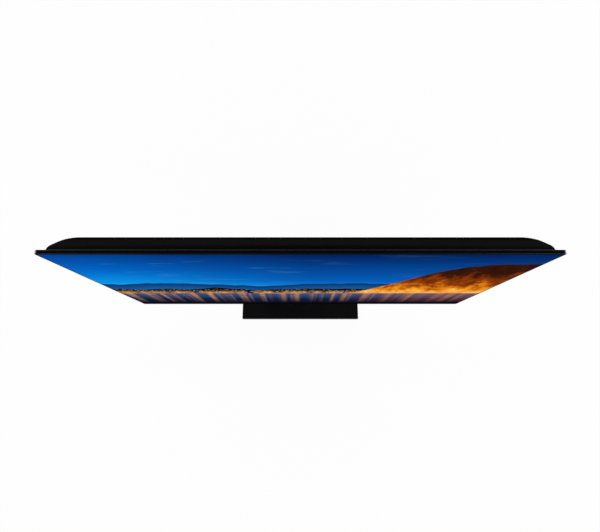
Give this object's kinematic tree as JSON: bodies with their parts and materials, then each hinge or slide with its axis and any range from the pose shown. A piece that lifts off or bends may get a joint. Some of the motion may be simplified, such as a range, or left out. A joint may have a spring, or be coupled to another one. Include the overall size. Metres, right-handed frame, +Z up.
{
  "type": "flat-panel led television",
  "caption": "Flat-panel LED television with a thin bezel and a curved rear housing, on a rectangular base whose neck swivels; display stack, boards, sockets and stand are separate pieces.",
  "frame": {"origin": "on the table, under the middle of the stand's base", "axes": "+X to the right of someone who faces the screen, +Y from the screen to the back, +Z up"},
  "size_m": [0.96, 0.2, 0.6316],
  "materials": {
    "gloss_black_plastic": "high gloss",
    "textured_black_plastic": "fine moulded texture",
    "satin_black_plastic": "satin",
    "display_glass": "anti-glare film over glass",
    "diffusing_film": "matt white film",
    "clear_acrylic": "clear, polished edges",
    "white_plastic": "moulded",
    "zinc_plated_steel": "zinc-plated sheet",
    "blackened_steel": "black coating",
    "bright_steel": "bright plating",
    "aluminium": "plain extrusion",
    "circuit_board": "green solder mask",
    "smoked_lens": "dark transparent",
    "acetal": "low-friction moulding",
    "black_rubber": "matt",
    "cable_jacket": "soft jacket"
  },
  "bodies": {
    "base": {"base_cover": "satin_black_plastic", "ballast_plate": "blackened_steel", "closing_plate": "textured_black_plastic", "upper_washer": "acetal", "lower_washer": "acetal", "foot_front_left": "black_rubber", "foot_front_right": "black_rubber", "foot_rear_left": "black_rubber", "foot_rear_right": "black_rubber"},
    "display": {"front_bezel": "gloss_black_plastic", "lcd_cell": "display_glass", "prism_film": "diffusing_film", "light_guide": "clear_acrylic", "reflector_sheet": "diffusing_film", "middle_frame": "white_plastic", "led_bar": "white_plastic", "led_heat_sink": "aluminium", "back_pan": "zinc_plated_steel", "main_board": "circuit_board", "power_board": "circuit_board", "timing_board": "circuit_board", "source_board_left": "circuit_board", "source_board_right": "circuit_board", "ribbon_cable": "cable_jacket", "power_harness": "cable_jacket", "hdmi_socket_1": "bright_steel", "hdmi_socket_2": "bright_steel", "usb_socket": "bright_steel", "network_socket": "satin_black_plastic", "aerial_socket": "bright_steel", "mains_inlet": "satin_black_plastic", "rear_cover": "textured_black_plastic", "socket_tray": "textured_black_plastic", "mains_tray": "textured_black_plastic", "wall_mount_bush_1": "bright_steel", "wall_mount_bush_2": "bright_steel", "wall_mount_bush_3": "bright_steel", "wall_mount_bush_4": "bright_steel", "speaker_box_left": "satin_black_plastic", "speaker_box_right": "satin_black_plastic", "speaker_driver_left": "black_rubber", "speaker_driver_right": "black_rubber", "sensor_lens": "smoked_lens", "sensor_board": "circuit_board", "radio_module": "circuit_board", "jog_housing": "satin_black_plastic", "stand_bracket": "zinc_plated_steel", "neck_core": "blackened_steel", "neck_sleeve": "gloss_black_plastic", "neck_screw_1": "bright_steel", "neck_screw_2": "bright_steel", "neck_screw_3": "bright_steel", "neck_screw_4": "bright_steel", "swivel_shaft": "bright_steel", "disc_spring": "bright_steel", "swivel_nut": "bright_steel", "stop_pin": "bright_steel"},
    "jog_plunger": {"jog_plunger": "white_plastic"},
    "jog_gimbal": {"jog_gimbal": "acetal"},
    "jog_stick": {"jog_stick": "satin_black_plastic"}
  },
  "joints": [
    {"name": "stand_swivel", "type": "hinge", "parent": "base", "child": "display", "pos_m": [0, -0.028, 0], "axis": [0, 0, 1], "range_deg": [-20, 20]},
    {"name": "jog_press", "type": "slide", "parent": "display", "child": "jog_plunger", "axis": [0, -1, 0], "range_m": [0, 0.0006], "stiffness_N_per_m": 3300},
    {"name": "jog_left_right", "type": "hinge", "parent": "jog_plunger", "child": "jog_gimbal", "pos_m": [0.385, -0.0269, 0.1568], "axis": [0, 0, 1], "range_deg": [-8, 8], "stiffness_Nm_per_rad": 0.14},
    {"name": "jog_up_down", "type": "hinge", "parent": "jog_gimbal", "child": "jog_stick", "pos_m": [0.385, -0.0269, 0.1568], "axis": [1, 0, 0], "range_deg": [-8, 8], "stiffness_Nm_per_rad": 0.14}
  ]
}
